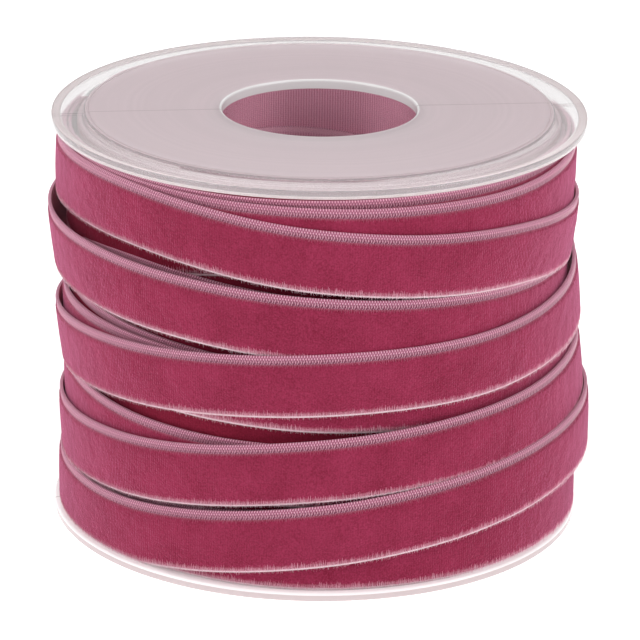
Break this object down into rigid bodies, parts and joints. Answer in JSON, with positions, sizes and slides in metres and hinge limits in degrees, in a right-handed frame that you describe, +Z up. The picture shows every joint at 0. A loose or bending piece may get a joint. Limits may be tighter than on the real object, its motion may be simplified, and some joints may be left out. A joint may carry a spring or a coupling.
{
  "type": "ribbon spool",
  "caption": "Clear plastic ribbon spool: push-fit flanges on a core tube, wound with narrow pink velvet ribbon in crossing turns.",
  "frame": {"origin": "centre of the face the spool stands on, under the bottom flange", "axes": "+Z up the spindle axis; +X to the right and -Y to the front of the wound ribbon as it is shown"},
  "size_m": [0.09, 0.09, 0.071],
  "materials": {
    "flange_plastic": "clear moulded plastic, frosted on the raised disc",
    "tube_plastic": "clear moulded plastic, polished",
    "velvet": "raspberry velvet pile with paler woven selvages",
    "tape_film": "clear adhesive tape"
  },
  "bodies": {
    "winding": {"core_tube": "tube_plastic", "start_tape": "tape_film", "ribbon_pack": "velvet", "ribbon_turn_01": "velvet", "ribbon_turn_02": "velvet", "ribbon_turn_03": "velvet", "ribbon_turn_04": "velvet", "ribbon_turn_05": "velvet", "ribbon_turn_06": "velvet", "ribbon_turn_07": "velvet", "ribbon_turn_08": "velvet", "ribbon_turn_09": "velvet", "ribbon_turn_10": "velvet"},
    "lower_flange": {"bottom_flange": "flange_plastic"},
    "upper_flange": {"top_flange": "flange_plastic"},
    "tail": {"ribbon_tail": "velvet", "tail_tape": "tape_film"}
  },
  "joints": [
    {"name": "top_flange_pull", "type": "slide", "parent": "winding", "child": "upper_flange", "axis": [0, 0, 1], "range_m": [0, 0.0125]},
    {"name": "bottom_flange_pull", "type": "slide", "parent": "winding", "child": "lower_flange", "axis": [0, 0, -1], "range_m": [0, 0.0125]},
    {"name": "tail_peel", "type": "hinge", "parent": "winding", "child": "tail", "pos_m": [-0.03499, 0.02685, 0.002], "axis": [0, 0, 1], "range_deg": [0, 75]}
  ]
}
